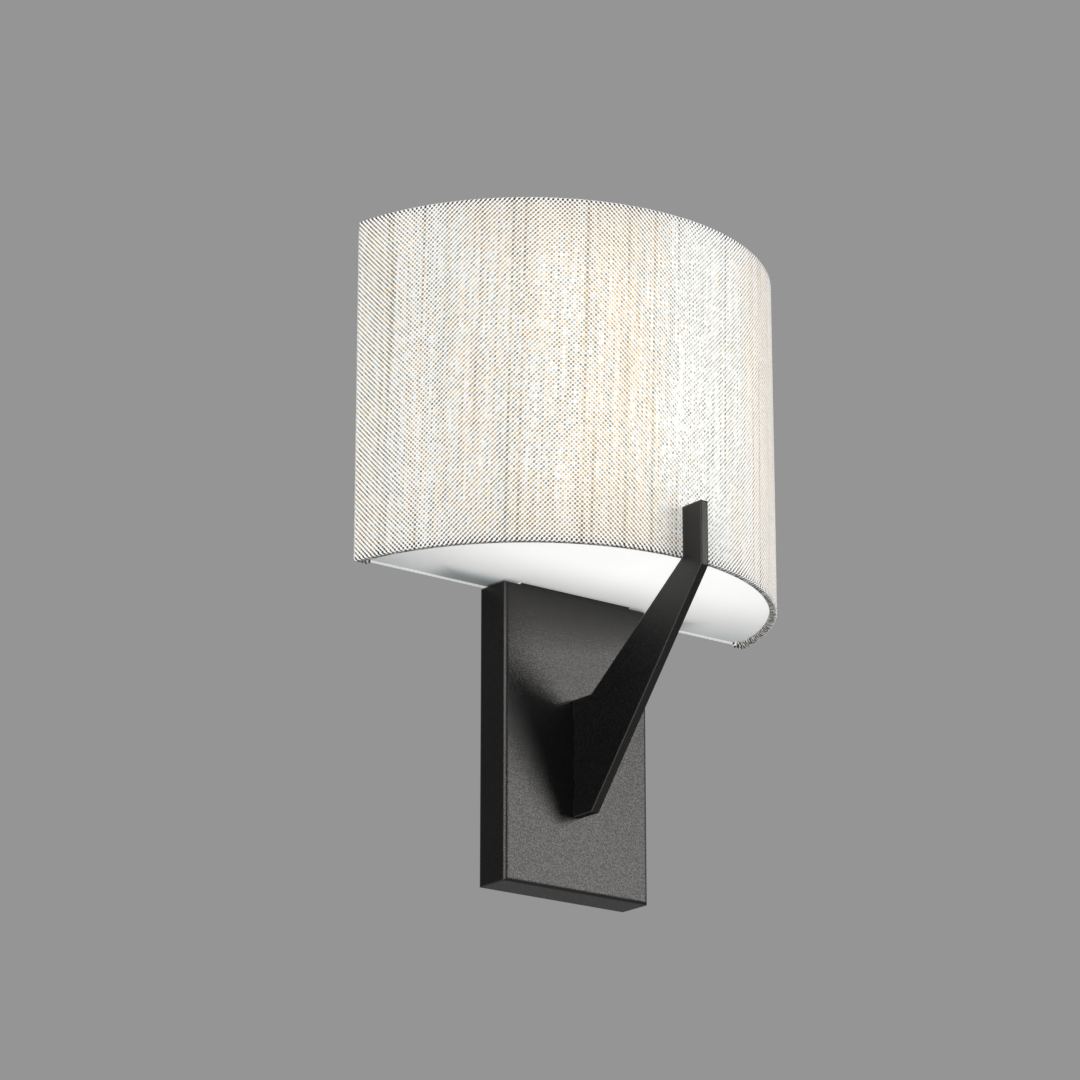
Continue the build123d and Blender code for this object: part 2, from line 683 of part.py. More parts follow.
# ---------------------------------------------------------------- write every piece
PIECES = {
    "mounting_strap": mounting_strap,
    "ground_screw": ground_screw,
    "housing": housing,
    "hanger_pins": hanger_pins,
    "lock_nut": lock_nut,
    "lock_screw": lock_screw,
    "arm": arm,
    "arm_bracket": arm_bracket,
    "arm_screws": arm_screws,
    "arm_nuts": arm_nuts,
    "light_channel": light_channel,
    "neck_nuts": neck_nuts,
    "back_pan": back_pan,
    "pan_screws": pan_screws,
    "channel_rivets": channel_rivets,
    "led_board": led_board,
    "led_chips": led_chips,
    "board_screws": board_screws,
    "board_connector": board_connector,
    "driver_case": driver_case,
    "driver_rivets": driver_rivets,
    "led_leads": led_leads,
    "lead_bush": lead_bush,
    "shade_fabric": shade_fabric,
    "shade_liner": shade_liner,
    "bottom_ring": bottom_ring,
    "top_ring": top_ring,
    "left_stile": lambda: stile(-1),
    "right_stile": lambda: stile(1),
    "bottom_diffuser": bottom_diffuser,
    "top_diffuser": top_diffuser,
    "diffuser_studs": diffuser_studs,
    "diffuser_nuts": diffuser_nuts,
}

os.makedirs("parts", exist_ok=True)
for name, make in PIECES.items():
    export_step(make(), f"parts/{name}.step")
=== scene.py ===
"""Looks of the fabric shade wall light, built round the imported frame. Metres; -Y is the front, +Z is up."""
import math
from types import SimpleNamespace

import bmesh
import bpy
from mathutils import Euler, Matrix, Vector


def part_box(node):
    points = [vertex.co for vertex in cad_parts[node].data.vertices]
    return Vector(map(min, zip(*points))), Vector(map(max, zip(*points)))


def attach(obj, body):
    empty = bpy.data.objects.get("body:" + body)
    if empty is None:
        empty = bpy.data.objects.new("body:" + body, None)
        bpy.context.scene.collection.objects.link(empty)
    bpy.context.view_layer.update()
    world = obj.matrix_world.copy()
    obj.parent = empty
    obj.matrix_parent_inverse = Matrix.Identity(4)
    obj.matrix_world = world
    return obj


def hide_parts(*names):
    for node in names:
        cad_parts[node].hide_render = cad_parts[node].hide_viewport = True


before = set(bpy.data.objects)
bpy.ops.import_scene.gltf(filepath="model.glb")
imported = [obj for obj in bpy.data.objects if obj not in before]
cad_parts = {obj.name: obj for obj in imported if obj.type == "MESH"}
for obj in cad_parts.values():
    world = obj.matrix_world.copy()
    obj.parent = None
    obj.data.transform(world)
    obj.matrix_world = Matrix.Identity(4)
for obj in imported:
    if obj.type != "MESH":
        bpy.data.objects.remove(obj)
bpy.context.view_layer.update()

MM = 0.001

# ---------------------------------------------------------------- places read from the frame
shade_low, shade_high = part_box("shade_fabric")
chips_low, chips_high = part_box("led_chips")

SHADE_BOTTOM = shade_low.z
SHADE_TOP = shade_high.z
SHADE_REAR_Y = shade_high.y
SHADE_HALF_W = shade_high.x
SHADE_DEPTH = shade_high.y - shade_low.y
SHADE_R = (SHADE_HALF_W**2 + SHADE_DEPTH**2) / (2 * SHADE_DEPTH)
SHADE_AXIS_Y = shade_low.y + SHADE_R
SHADE_H = SHADE_TOP - SHADE_BOTTOM

# ---------------------------------------------------------------- camera
CAMERA_AT = Vector((-0.9902, -1.2887, -0.4411))
CAMERA_TURN = math.radians(37.36)
CAMERA_RISE = math.radians(18.19)
CAMERA_LENS = 134.0
CAMERA_SENSOR = 36.0
CAMERA_NEAR = 0.01
CAMERA_FAR = 100.0


def make_camera():
    data = bpy.data.cameras.new("camera")
    data.lens = CAMERA_LENS
    data.sensor_width = CAMERA_SENSOR
    data.clip_start = CAMERA_NEAR
    data.clip_end = CAMERA_FAR
    camera = bpy.data.objects.new("camera", data)
    camera.location = CAMERA_AT
    camera.rotation_euler = Euler((math.pi / 2 + CAMERA_RISE, 0.0, -CAMERA_TURN))
    bpy.context.scene.collection.objects.link(camera)
    bpy.context.scene.camera = camera


make_camera()
bpy.context.scene.view_settings.view_transform = "Standard"

# ---------------------------------------------------------------- material recipes
# Noise runs from 0 to 1 and gathers round a half. A band is the stretch of it over which a look changes.
SOFT_BAND = (0.35, 0.65)
WIDE_BAND = (0.3, 0.7)
FULL_BAND = (0.0, 1.0)


class Recipe:
    """One material's node tree, built by short calls. Lengths are in millimetres."""

    def __init__(self, name, **constants):
        self.material = bpy.data.materials.new(name)
        self.material.use_nodes = True
        self.nodes = self.material.node_tree.nodes
        self.links = self.material.node_tree.links
        self.shader = self.nodes["Principled BSDF"]
        for socket, value in constants.items():
            self.shader.inputs[socket.replace("_", " ")].default_value = value
        coordinates = self.nodes.new("ShaderNodeTexCoord").outputs["Object"]
        self.place = self.vector("SCALE", coordinates, scale=1 / MM)
        self.x, self.y, self.z = self.split(self.place)

    def feed(self, socket, value):
        if isinstance(value, bpy.types.NodeSocket):
            self.links.new(value, socket)
        elif isinstance(value, tuple) and socket.type == "RGBA":
            socket.default_value = (*value, 1.0)
        else:
            socket.default_value = value

    def set(self, name, value):
        self.feed(self.shader.inputs[name], value)

    def math(self, operation, *values):
        node = self.nodes.new("ShaderNodeMath")
        node.operation = operation
        for socket, value in zip(node.inputs, values):
            self.feed(socket, value)
        return node.outputs[0]

    def vector(self, operation, *values, scale=None):
        node = self.nodes.new("ShaderNodeVectorMath")
        node.operation = operation
        for socket, value in zip(node.inputs, values):
            self.feed(socket, value)
        if scale is not None:
            node.inputs["Scale"].default_value = scale
        return node.outputs[0]

    def length(self, value):
        node = self.nodes.new("ShaderNodeVectorMath")
        node.operation = "LENGTH"
        self.feed(node.inputs[0], value)
        return node.outputs["Value"]

    def split(self, value):
        node = self.nodes.new("ShaderNodeSeparateXYZ")
        self.feed(node.inputs[0], value)
        return node.outputs[0], node.outputs[1], node.outputs[2]

    def join(self, x=0.0, y=0.0, z=0.0):
        node = self.nodes.new("ShaderNodeCombineXYZ")
        for socket, value in zip(node.inputs, (x, y, z)):
            self.feed(socket, value)
        return node.outputs[0]

    def uv(self, name):
        node = self.nodes.new("ShaderNodeUVMap")
        node.uv_map = name
        return node.outputs[0]

    def noise(self, size, detail=2.0, stretch=(1.0, 1.0, 1.0), at=None):
        """Smooth noise from 0 to 1 with features about size across, longer where stretch is larger."""
        node = self.nodes.new("ShaderNodeTexNoise")
        spread = tuple(1 / (size * s) for s in stretch)
        self.feed(node.inputs["Vector"], self.vector("MULTIPLY", at or self.place, spread))
        node.inputs["Scale"].default_value = 1.0
        node.inputs["Detail"].default_value = detail
        return node.outputs["Fac"]

    def speckle(self, *whole_places):
        """A steady random number from 0 to 1 for each set of whole places."""
        node = self.nodes.new("ShaderNodeTexWhiteNoise")
        self.feed(node.inputs["Vector"], self.join(*whole_places))
        return node.outputs["Value"]

    def between(self, value, low, high, to_low=0.0, to_high=1.0):
        """Value eased from to_low, at low, to to_high, at high."""
        node = self.nodes.new("ShaderNodeMapRange")
        node.interpolation_type = "SMOOTHSTEP"
        for socket, part in zip(node.inputs, (value, low, high, to_low, to_high)):
            self.feed(socket, part)
        return node.outputs[0]

    def near(self, value, centre, full, none):
        """1 within full of the centre, easing to 0 at none from it."""
        away = self.math("ABSOLUTE", self.math("SUBTRACT", value, centre))
        return self.between(away, full, none, 1.0, 0.0)

    def product(self, first, *others):
        for other in others:
            first = self.math("MULTIPLY", first, other)
        return first

    def sum(self, *weighted):
        """The sum of value times weight."""
        total = 0.0
        for value, weight in weighted:
            total = self.math("MULTIPLY_ADD", value, weight, total)
        return total

    def dimmed(self, value, share, weight):
        """Value with weight of it taken off where share is 1."""
        return self.math("MULTIPLY", value, self.math("MULTIPLY_ADD", share, -weight, 1.0))

    def mix(self, share, a, b, kind="MIX"):
        node = self.nodes.new("ShaderNodeMix")
        node.data_type = "RGBA"
        node.blend_type = kind
        for name, value in (("Factor_Float", share), ("A_Color", a), ("B_Color", b)):
            socket = next(s for s in node.inputs if s.identifier == name)
            self.feed(socket, value)
        return next(s for s in node.outputs if s.identifier == "Result_Color")

    def blend(self, noise, low, high, band=SOFT_BAND):
        """Colour from low to high as the noise crosses its band."""
        return self.mix(self.between(noise, *band), low, high)

    def ramp(self, value, stops):
        node = self.nodes.new("ShaderNodeValToRGB")
        points = node.color_ramp.elements
        while len(points) < len(stops):
            points.new(1.0)
        for point, (place, colour) in zip(points, stops):
            point.position = place
            point.color = (*colour, 1.0)
        self.feed(node.inputs[0], value)
        return node.outputs["Color"]

    def roughness(self, noise, low, high, band=WIDE_BAND):
        """Roughness from low to high as the noise crosses its band."""
        self.set("Roughness", self.between(noise, *band, low, high))

    def rounded(self, radius):
        """The surface's direction with its hard edges rounded."""
        bevel = self.nodes.new("ShaderNodeBevel")
        bevel.samples = 4
        bevel.inputs["Radius"].default_value = radius * MM
        return bevel.outputs[0]

    def relief(self, height, depth, rounding=0.0):
        """Raises the surface by height, from 0 to 1, times depth. Rounding softens the hard edges."""
        bump = self.nodes.new("ShaderNodeBump")
        bump.inputs["Strength"].default_value = 1.0
        bump.inputs["Distance"].default_value = depth * MM
        self.feed(bump.inputs["Height"], height)
        if rounding:
            self.links.new(self.rounded(rounding), bump.inputs["Normal"])
        self.links.new(bump.outputs[0], self.shader.inputs["Normal"])


# ---------------------------------------------------------------- metal and paint
COAT_BLACK = (0.0018, 0.0018, 0.0021)
COAT_WORN = (0.0048, 0.0047, 0.0047)
COAT_EDGE_HIGHLIGHT = (0.095, 0.09, 0.086)
COAT_WARMTH = (1.0, 0.98, 0.945, 1.0)
# A direction's sideways part is -1 on a left-facing face and nears 0 as its edge rounds to the front.
# A painted highlight makes the coat paler where that part lies between these two bands.
LEFT_FACE = (-0.995, -0.94)
LEFT_EDGE_END = (-0.84, -0.62)


def powder_coat():
    """Fine-texture satin black powder coat, with a painted highlight on the edges beside the left-facing
    faces.
    """
    r = Recipe("powder_black", Specular_IOR_Level=0.42, Specular_Tint=COAT_WARMTH)
    grain = r.noise(0.78, detail=3.0)
    peel = r.noise(2.4, detail=1.0)
    cloud = r.noise(26.0, detail=2.0)
    black = r.blend(r.sum((grain, 0.7), (cloud, 0.3)), COAT_BLACK, COAT_WORN)
    # Painted highlight: a paler colour on the rounded edges beside the left-facing faces.
    leftward, _, _ = r.split(r.rounded(0.9))
    edge = r.product(r.between(leftward, *LEFT_FACE), r.between(leftward, *LEFT_EDGE_END, 1.0, 0.0))
    r.set("Base Color", r.mix(edge, black, COAT_EDGE_HIGHLIGHT))
    r.roughness(grain, 0.325, 0.435, SOFT_BAND)
    r.relief(r.sum((grain, 0.8), (peel, 0.2)), 0.056, rounding=1.1)
    return r.material


OXIDE = (0.035, 0.035, 0.038)
OXIDE_WORN = (0.11, 0.105, 0.10)
WORN_BAND = (0.45, 0.75)


def black_oxide():
    """Oxide finish of the socket set screw."""
    r = Recipe("black_oxide", Metallic=0.85)
    grain = r.noise(0.3, detail=3.0)
    worn = r.noise(1.4)
    r.set("Base Color", r.blend(worn, OXIDE, OXIDE_WORN, WORN_BAND))
    r.roughness(grain, 0.32, 0.5)
    r.relief(grain, 0.01, rounding=0.15)
    return r.material


ZINC = (0.60, 0.61, 0.60)
GREEN = (0.05, 0.30, 0.10)
ZINC_DULLING = 0.74
STAIN_BAND = (0.4, 0.7)
STAIN_ROUGHNESS = 0.12
ROLLED = (1.0, 1.0, 6.0)
UNROLLED = (1.0, 1.0, 1.0)


def zinc(name, tint, brushed=UNROLLED):
    """Bright zinc plate, clouded, with fine lines along the direction in which its steel was rolled."""
    r = Recipe(name, Metallic=1.0)
    cloud = r.noise(7.0, detail=3.0)
    lines = r.noise(0.16, detail=2.0, stretch=brushed)
    stain = r.noise(16.0, detail=4.0)
    dull = tuple(ZINC_DULLING * part for part in tint)
    r.set("Base Color", r.blend(r.sum((cloud, 0.6), (stain, 0.4)), dull, tint))
    smooth = r.between(lines, *WIDE_BAND, 0.26, 0.4)
    r.set("Roughness", r.sum((smooth, 1.0), (r.between(stain, *STAIN_BAND), STAIN_ROUGHNESS)))
    r.relief(r.sum((lines, 0.7), (cloud, 0.3)), 0.02, rounding=0.25)
    return r.material


ENAMEL_DEEP = (0.785, 0.785, 0.775)
ENAMEL_PALE = (0.81, 0.81, 0.80)
ENAMEL_LIGHT = (1.0, 0.965, 0.93)
ENAMEL_GLOW = 0.42
ENAMEL_GLOW_FROM = SHADE_BOTTOM / MM + 1.0
ENAMEL_GLOW_TO = SHADE_BOTTOM / MM + 5.0


def white_enamel():
    """Stoved white reflector paint, slightly dimpled; light from inside reaches its lowest edge."""
    r = Recipe("white_enamel", Specular_IOR_Level=0.45)
    peel = r.noise(1.6, detail=2.0)
    cloud = r.noise(40.0, detail=3.0)
    grain = r.noise(0.35)
    r.set("Base Color", r.blend(cloud, ENAMEL_DEEP, ENAMEL_PALE))
    r.roughness(r.sum((cloud, 0.5), (grain, 0.5)), 0.34, 0.46, SOFT_BAND)
    r.set("Emission Color", ENAMEL_LIGHT)
    r.set("Emission Strength", r.between(r.z, ENAMEL_GLOW_FROM, ENAMEL_GLOW_TO, ENAMEL_GLOW, 0.0))
    r.relief(r.sum((peel, 0.8), (grain, 0.2)), 0.03, rounding=0.3)
    return r.material


# ---------------------------------------------------------------- opal sheets
OPAL_DEEP = (0.80, 0.81, 0.80)
OPAL_PALE = (0.83, 0.83, 0.82)
OPAL_UNLIT = (0.52, 0.57, 0.58)
OPAL_UNLIT_BELOW = 0.30
OPAL_DIM_LIGHT = (0.74, 0.83, 0.86)
OPAL_FULL_LIGHT = (0.82, 0.82, 0.805)
OPAL_FULL_FROM = 0.45


def opal(name, glow):
    """Frosted opal acrylic with the light behind it; glow gives the light at each place. Where there is
    little light it is darker and bluer."""
    r = Recipe(name, Specular_IOR_Level=0.2)
    frost = r.noise(0.3, detail=2.0)
    cloud = r.noise(34.0, detail=2.0)
    tint = r.blend(cloud, OPAL_DEEP, OPAL_PALE)
    level = glow(r)
    r.set("Base Color", r.mix(r.between(level, 0.0, OPAL_UNLIT_BELOW), OPAL_UNLIT, tint))
    r.roughness(frost, 0.58, 0.70)
    r.set("Emission Color", r.mix(r.between(level, 0.0, OPAL_FULL_FROM), OPAL_DIM_LIGHT, OPAL_FULL_LIGHT))
    r.set("Emission Strength", level)
    r.relief(frost, 0.012, rounding=0.3)
    return r.material


BOTTOM_GLOW_WALL = 0.20
BOTTOM_GLOW_FRONT = 0.90
BOTTOM_GLOW_SHALLOW = -8.0
BOTTOM_GLOW_DEEP = 56.0
BOTTOM_END_LOSS = 0.38
# The sheet is in the channel's shade up to the first distance from the middle, or from the mounting plane,
# and clear of it by the second.
CHANNEL_SHADE_X = (47.0, 81.0)
CHANNEL_SHADE_Y = (2.0, 24.0)


def bottom_glow(r):
    """Brightest in front of the light board; fading to the rear and to both ends, shaded by the channel."""
    out = r.math("MULTIPLY", r.y, -1.0)
    deep = r.between(out, BOTTOM_GLOW_SHALLOW, BOTTOM_GLOW_DEEP, BOTTOM_GLOW_WALL, BOTTOM_GLOW_FRONT)
    side = r.math("DIVIDE", r.x, SHADE_HALF_W / MM)
    ends = r.math("MULTIPLY_ADD", r.product(side, side), -BOTTOM_END_LOSS, 1.0)
    beside = r.between(r.math("ABSOLUTE", r.x), *CHANNEL_SHADE_X)
    before = r.between(out, *CHANNEL_SHADE_Y)
    clear = r.between(r.math("MAXIMUM", beside, before), *FULL_BAND)
    return r.product(deep, ends, clear)


TOP_GLOW_MIDDLE = 0.46
TOP_GLOW_RIM = 0.24
TOP_GLOW_MIDDLE_R = 55.0
TOP_GLOW_RIM_R = 104.0


def top_glow(r):
    """Even light, a little less towards the rim."""
    out = r.length(r.join(r.x, r.math("SUBTRACT", r.y, SHADE_AXIS_Y / MM)))
    return r.between(out, TOP_GLOW_MIDDLE_R, TOP_GLOW_RIM_R, TOP_GLOW_MIDDLE, TOP_GLOW_RIM)


# ---------------------------------------------------------------- film, light board, plastics and rubber
FILM_DEEP = (0.78, 0.78, 0.76)
FILM_PALE = (0.83, 0.83, 0.81)
FILM_LIGHT = (1.0, 0.98, 0.94)


def film():
    """Translucent white lining film behind the cloth."""
    r = Recipe("liner_film", Specular_IOR_Level=0.4)
    cloud = r.noise(22.0, detail=3.0)
    grain = r.noise(0.5)
    r.set("Base Color", r.blend(cloud, FILM_DEEP, FILM_PALE))
    r.roughness(grain, 0.42, 0.55)
    r.set("Emission Color", FILM_LIGHT)
    r.set("Emission Strength", r.between(cloud, *WIDE_BAND, 0.30, 0.36))
    r.relief(grain, 0.01)
    return r.material


CHIP = 3.0
CHIP_ROWS = 10
CHIP_COLUMN_X = (chips_high.x - chips_low.x) / 2 / MM - CHIP / 2
CHIP_PITCH = ((chips_high.z - chips_low.z) / MM - CHIP) / (CHIP_ROWS - 1)
CHIP_LOWEST_Z = chips_low.z / MM + CHIP / 2
MASK_DEEP = (0.78, 0.79, 0.77)
MASK_PALE = (0.83, 0.83, 0.81)
COPPER_RUN = (0.70, 0.66, 0.52)
COPPER_RUN_SHOW = 0.35
COPPER_RUN_HALF_W = 1.9
COPPER_RUN_EDGE = 2.3


def board_mask():
    """White solder mask of the light board, with faint copper runs under the chip columns."""
    r = Recipe("board_white", Specular_IOR_Level=0.5)
    run = r.near(r.math("ABSOLUTE", r.x), CHIP_COLUMN_X, COPPER_RUN_HALF_W, COPPER_RUN_EDGE)
    weave = r.noise(0.8, detail=2.0)
    cloud = r.noise(18.0)
    base = r.blend(cloud, MASK_DEEP, MASK_PALE)
    r.set("Base Color", r.mix(r.math("MULTIPLY", run, COPPER_RUN_SHOW), base, COPPER_RUN))
    r.roughness(weave, 0.30, 0.42)
    r.relief(r.sum((run, 0.7), (weave, 0.3)), 0.03, rounding=0.15)
    return r.material


PHOSPHOR_DEEP = (0.80, 0.56, 0.09)
PHOSPHOR_PALE = (0.86, 0.66, 0.16)
CHIP_FRAME = (0.82, 0.82, 0.80)
CHIP_LIGHT = (1.0, 0.90, 0.62)
CHIP_GLOW = 0.55
DOME_R = 1.05
DOME_EDGE_R = 1.25


def phosphor():
    """Light-emitting chips: a round yellow phosphor dome in a white frame."""
    r = Recipe("led_phosphor", Specular_IOR_Level=0.6)
    side = r.math("SUBTRACT", r.math("ABSOLUTE", r.x), CHIP_COLUMN_X)
    level = r.math("SUBTRACT", r.z, CHIP_LOWEST_Z)
    level = r.math("PINGPONG", r.math("ADD", level, 2 * CHIP_ROWS * CHIP_PITCH), CHIP_PITCH / 2)
    dome = r.between(r.length(r.join(side, level)), DOME_R, DOME_EDGE_R, 1.0, 0.0)
    grain = r.noise(0.12, detail=2.0)
    yellow = r.mix(grain, PHOSPHOR_DEEP, PHOSPHOR_PALE)
    r.set("Base Color", r.mix(dome, CHIP_FRAME, yellow))
    r.roughness(dome, 0.45, 0.22, FULL_BAND)
    r.set("Emission Color", CHIP_LIGHT)
    r.set("Emission Strength", r.math("MULTIPLY", dome, CHIP_GLOW))
    r.relief(r.sum((dome, 0.8), (grain, 0.2)), 0.12)
    return r.material


NYLON_PALE = (0.78, 0.77, 0.72)
NYLON_DEEP = (0.70, 0.69, 0.63)
CASE_PALE = (0.74, 0.74, 0.71)
CASE_DEEP = (0.66, 0.66, 0.63)
RUBBER_PALE = (0.030, 0.030, 0.031)
RUBBER_DEEP = (0.018, 0.018, 0.019)
MOULDED_SPREAD = 0.07


def moulded(name, pale, deep, roughness):
    """Moulded plastic or rubber with a fine spark-eroded skin and a little shade in its colour."""
    r = Recipe(name, Specular_IOR_Level=0.45)
    grain = r.noise(0.35, detail=3.0)
    cloud = r.noise(14.0, detail=3.0)
    r.set("Base Color", r.blend(r.sum((cloud, 0.7), (grain, 0.3)), deep, pale))
    r.roughness(grain, roughness - MOULDED_SPREAD, roughness + MOULDED_SPREAD)
    r.relief(grain, 0.02, rounding=0.4)
    return r.material


LEAD_RED_DEEP = (0.42, 0.022, 0.018)
LEAD_RED_PALE = (0.56, 0.035, 0.026)
LEAD_BLACK_DEEP = (0.012, 0.012, 0.013)
LEAD_BLACK_PALE = (0.026, 0.026, 0.028)


def insulation():
    """Two leads, one red and one black, with the faint ripple of drawn insulation."""
    r = Recipe("lead_insulation", Specular_IOR_Level=0.5)
    ripple = r.noise(0.5, detail=2.0)
    red = r.blend(ripple, LEAD_RED_DEEP, LEAD_RED_PALE, WIDE_BAND)
    black = r.blend(ripple, LEAD_BLACK_DEEP, LEAD_BLACK_PALE, WIDE_BAND)
    r.set("Base Color", r.mix(r.math("GREATER_THAN", r.x, 0.0), red, black))
    r.roughness(ripple, 0.30, 0.42)
    r.relief(ripple, 0.02)
    return r.material


# ---------------------------------------------------------------- the shade's cloth: its shape
CLOTH_T = 0.6
HEM_R = 0.75
HEM_DEPTH = 3.2
LIP_UP = 2.0
RETURN_W = 6.6
CORNER_R = 1.1
LIP_STEPS = 5
FOLD_STEPS = 7
WALL_STEPS = 22
WALL_CROWDING = 1.6
CORNER_STEPS = 8
RETURN_STEPS = 6
ROUND_OFF = 1e-6
MERGE_WITHIN = 1e-7
CLOTH_UV = "weave"


def arc_points(centre, radius, from_deg, to_deg, steps):
    """Places and outward directions along an arc, as (x, y, out_x, out_y)."""
    made = []
    for k in range(steps + 1):
        turn = math.radians(from_deg + (to_deg - from_deg) * k / steps)
        out = (math.cos(turn), math.sin(turn))
        made.append((centre[0] + radius * out[0], centre[1] + radius * out[1], *out))
    return made


def hem_section():
    """Half of the cloth's section: (depth inwards, height above the bottom fold, direction out), from the
    lip inside the shade, round the hem and up to the middle of the wall. Millimetres, mid-cloth."""
    half = CLOTH_T / 2
    small = HEM_R - half
    inner = HEM_DEPTH - half
    points = [(inner, LIP_UP, 1.0, 0.0), (inner, (LIP_UP + HEM_R) / 2, 1.0, 0.0)]
    points += arc_points((inner - small, half + small), small, 0, -90, LIP_STEPS)
    points += arc_points((half + small, half + small), small, -90, -180, FOLD_STEPS)
    rise = SHADE_H / MM / 2 - HEM_R
    for k in range(1, WALL_STEPS + 1):
        points.append((half, HEM_R + rise * (k / WALL_STEPS) ** WALL_CROWDING, -1.0, 0.0))
    return points


def full_section():
    """The whole section, bottom lip to top lip, with the length along it measured from the bottom fold."""
    lower = hem_section()
    height = SHADE_H / MM
    upper = [(d, height - z, out_d, -out_z) for d, z, out_d, out_z in reversed(lower[:-1])]
    points = lower + upper
    run = [0.0]
    for (d0, z0, *_), (d1, z1, *_) in zip(points, points[1:]):
        run.append(run[-1] + math.hypot(d1 - d0, z1 - z0))
    wall_middle = run[len(lower) - 1]
    return [(*p, s - wall_middle + height / 2) for p, s in zip(points, run)]


def plan_path():
    """The outer face seen from above, left to right: a return along the rear, a corner, the arc, a corner
    and a return. Each stop is (x, y, inward_x, inward_y, length from the front centre), in millimetres."""
    radius = SHADE_R / MM
    axis = SHADE_AXIS_Y / MM
    rear = SHADE_REAR_Y / MM
    reach = math.sqrt((radius - CORNER_R) ** 2 - (axis - rear + CORNER_R) ** 2)
    corner = (reach, rear - CORNER_R)
    arc_end = math.degrees(math.atan2(corner[1] - axis, corner[0]))
    steps = round(math.radians(90 + arc_end) * radius)
    half = [(*p, -ox, -oy) for *p, ox, oy in arc_points((0.0, axis), radius, -90, arc_end, steps)]
    half += [(*p, -ox, -oy) for *p, ox, oy in arc_points(corner, CORNER_R, arc_end, 90, CORNER_STEPS)][1:]
    inner_end = SHADE_HALF_W / MM - RETURN_W
    for k in range(1, RETURN_STEPS + 1):
        half.append((corner[0] + (inner_end - corner[0]) * k / RETURN_STEPS, rear, 0.0, -1.0))
    run = [0.0]
    for (x0, y0, *_), (x1, y1, *_) in zip(half, half[1:]):
        run.append(run[-1] + math.hypot(x1 - x0, y1 - y0))
    right = [(*p, s) for p, s in zip(half, run)]
    left = [(-x, y, -ix, iy, -s) for x, y, ix, iy, s in reversed(right[1:])]
    return left + right


def set_in(stop, depth):
    """A place depth inside the outer face, kept on its own side of the rear corner's mitre."""
    x, y, in_x, in_y, _ = stop
    px, py = x + in_x * depth, y + in_y * depth
    rear = SHADE_REAR_Y / MM - depth
    if depth > CORNER_R and py > rear - ROUND_OFF:
        mitre_x = math.sqrt((SHADE_R / MM - depth) ** 2 - (SHADE_AXIS_Y / MM - rear) ** 2)
        if abs(px) > mitre_x:
            return math.copysign(mitre_x, x), rear
    return px, py


def piece_from(mesh, name, material, body):
    """Turns a bmesh into a named, smooth-shaded piece of the object that rides on a body."""
    data = bpy.data.meshes.new(name)
    mesh.to_mesh(data)
    mesh.free()
    data.materials.append(material)
    for polygon in data.polygons:
        polygon.use_smooth = True
    made = bpy.data.objects.new(name, data)
    bpy.context.scene.collection.objects.link(made)
    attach(made, body)
    return made


def shade_cloth(material):
    """One sheet of cloth round the shade, folded under at both rims and round the two rear corners."""
    section = full_section()
    path = plan_path()
    mesh = bmesh.new()
    layer = mesh.loops.layers.uv.new(CLOTH_UV)
    woven_at = {}

    def vertex(stop, point, face):
        depth, height, out_depth, out_z, run = point
        reach = face * CLOTH_T / 2
        x, y = set_in(stop, depth + reach * out_depth)
        made = mesh.verts.new((x * MM, y * MM, SHADE_BOTTOM + (height + reach * out_z) * MM))
        woven_at[made] = (stop[4] * MM, run * MM)
        return made

    outer, inner = ([[vertex(stop, point, face) for point in section] for stop in path] for face in (1, -1))

    def quad(*corners):
        for loop in mesh.faces.new(corners).loops:
            loop[layer].uv = woven_at[loop.vert]

    stops = range(len(path) - 1)
    points = range(len(section) - 1)
    for i in stops:
        for k in points:
            quad(outer[i][k], outer[i + 1][k], outer[i + 1][k + 1], outer[i][k + 1])
            quad(inner[i][k], inner[i][k + 1], inner[i + 1][k + 1], inner[i + 1][k])
        quad(outer[i][0], inner[i][0], inner[i + 1][0], outer[i + 1][0])
        quad(outer[i][-1], outer[i + 1][-1], inner[i + 1][-1], inner[i][-1])
    for k in points:
        quad(outer[0][k], outer[0][k + 1], inner[0][k + 1], inner[0][k])
        quad(outer[-1][k], inner[-1][k], inner[-1][k + 1], outer[-1][k + 1])
    bmesh.ops.remove_doubles(mesh, verts=mesh.verts, dist=MERGE_WITHIN)
    bmesh.ops.dissolve_degenerate(mesh, edges=mesh.edges, dist=MERGE_WITHIN)
    bmesh.ops.recalc_face_normals(mesh, faces=mesh.faces)
    made = piece_from(mesh, "shade_cloth", material, "fixture")
    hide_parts("shade_fabric")
    return made


# ---------------------------------------------------------------- the shade's cloth: its weave and light
# Places along the cloth are millimetres from the front centre, left negative; places up it are
# millimetres from the bottom fold; the edge is the distance from the nearer fold.
WARP_PITCH = 1.004
WEFT_PITCH = 1.017
WARP_LEAN = 0.025
SLANT_START = 1.40
SLANT_RATE = 0.020
SLANT_GAIN = 0.00003
SLANT_LEFT_END = (-115.0, -70.0)
SLANT_LEFT = 0.62
SLANT_RIGHT = 0.28

WARP_SLUB_LENGTH = 46.0
WEFT_SLUB_LENGTH = 16.0
HUE_LENGTH = 60.0
STREAK_LENGTH = 80.0
REGION_SIZE = 38.0
REGION_STRETCH = (0.5, 3.0, 1.0)
STREAKED_STRANDS = (0.78, 0.96)
STREAKED_STRETCHES = (0.38, 0.55)
OVERLAP_SOFTNESS = 0.26

